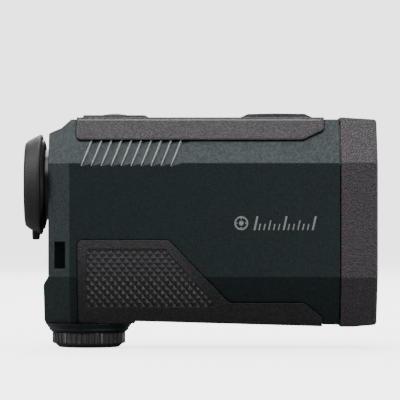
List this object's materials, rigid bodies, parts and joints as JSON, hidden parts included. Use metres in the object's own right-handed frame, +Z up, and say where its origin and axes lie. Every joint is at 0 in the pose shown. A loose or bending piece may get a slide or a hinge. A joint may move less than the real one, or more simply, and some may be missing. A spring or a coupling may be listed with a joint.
{
  "type": "laser rangefinder",
  "caption": "Hand-held monocular laser rangefinder with rubber-armoured octagonal body, turning eyecup, two press buttons and a screw battery cap.",
  "frame": {"origin": "middle of the bounding box in plan, on the plane of the battery cap's underside", "axes": "+X forward, out of the objective; +Y to the user's left; +Z up, through the button face"},
  "size_m": [0.11, 0.042, 0.0733],
  "materials": {
    "shell_green": "satin",
    "armour_rubber": "matte",
    "black_plastic": "matte",
    "button_rubber": "matte",
    "seal_rubber": "matte",
    "lens_glass": "polished",
    "prism_glass": "polished",
    "anodised_black": "satin",
    "steel": "satin",
    "nickel": "satin",
    "brass": "satin",
    "board_green": "gloss",
    "chip_black": "matte",
    "flex_amber": "gloss",
    "display_glass": "polished",
    "cell_sleeve": "gloss"
  },
  "bodies": {
    "housing": {"right_shell": "shell_green", "left_shell": "shell_green", "shell_gasket": "seal_rubber", "shell_screws": "steel", "top_armour": "armour_rubber", "grip_armour": "armour_rubber", "front_bezel": "armour_rubber", "front_frame": "black_plastic", "front_plate": "black_plastic", "plate_screws": "steel", "objective_barrel": "anodised_black", "objective_lens": "lens_glass", "objective_spacer": "anodised_black", "objective_corrector": "lens_glass", "objective_retainer": "anodised_black", "receiver_tube": "black_plastic", "receiver_lens": "lens_glass", "receiver_retainer": "anodised_black", "detector": "nickel", "detector_board": "board_green", "prism_holder": "black_plastic", "half_penta_prism": "prism_glass", "roof_prism": "prism_glass", "display_frame": "black_plastic", "display_module": "display_glass", "display_flex": "flex_amber", "display_flex_pad": "flex_amber", "laser_holder": "brass", "laser_diode": "nickel", "laser_lens": "lens_glass", "main_board": "board_green", "board_chips": "chip_black", "board_screws": "steel", "switch_board": "board_green", "power_switch": "chip_black", "mode_switch": "chip_black", "switch_board_screws": "steel", "switch_flex": "flex_amber", "eyepiece_tube": "black_plastic", "eyepiece_seal": "seal_rubber", "battery_tube": "black_plastic", "positive_contact": "nickel", "battery_collar": "shell_green"},
    "diopter_control": {"diopter_ring": "black_plastic", "eyecup": "armour_rubber"},
    "focus_group": {"eye_lens_cell": "black_plastic", "eye_lens": "lens_glass", "lens_spacer": "anodised_black", "field_lens": "lens_glass", "eye_lens_retainer": "anodised_black"},
    "power_key": {"power_button": "button_rubber"},
    "mode_key": {"mode_button": "button_rubber"},
    "battery_carrier": {"battery": "cell_sleeve", "cap_contact": "nickel", "battery_spring": "nickel"},
    "cap_assembly": {"battery_cap": "black_plastic", "cap_seal": "seal_rubber"}
  },
  "joints": [
    {"name": "diopter_turn", "type": "hinge", "parent": "housing", "child": "diopter_control", "pos_m": [-0.05, 0, 0.0511], "axis": [1, 0, 0], "range_deg": [-75, 75]},
    {"name": "focus_slide", "type": "slide", "parent": "housing", "child": "focus_group", "axis": [1, 0, 0], "range_m": [-0.00131, 0.00131]},
    {"name": "power_press", "type": "slide", "parent": "housing", "child": "power_key", "axis": [0, 0, -1], "range_m": [0, 0.0008], "stiffness_N_per_m": 2500, "springref_m": -0.0004},
    {"name": "mode_press", "type": "slide", "parent": "housing", "child": "mode_key", "axis": [0, 0, -1], "range_m": [0, 0.0006], "stiffness_N_per_m": 2500, "springref_m": -0.0004},
    {"name": "battery_lower", "type": "slide", "parent": "housing", "child": "battery_carrier", "axis": [0, 0, -1], "range_m": [0, 0.005]},
    {"name": "cap_turn", "type": "hinge", "parent": "battery_carrier", "child": "cap_assembly", "pos_m": [-0.035, 0, 0.002], "axis": [0, 0, -1], "range_deg": [0, 600]}
  ],
  "couplings": [
    {"joint": "diopter_turn", "follows": "focus_slide", "rad_per_m": -999.22},
    {"joint": "cap_turn", "follows": "battery_lower", "rad_per_m": 2094.4}
  ]
}
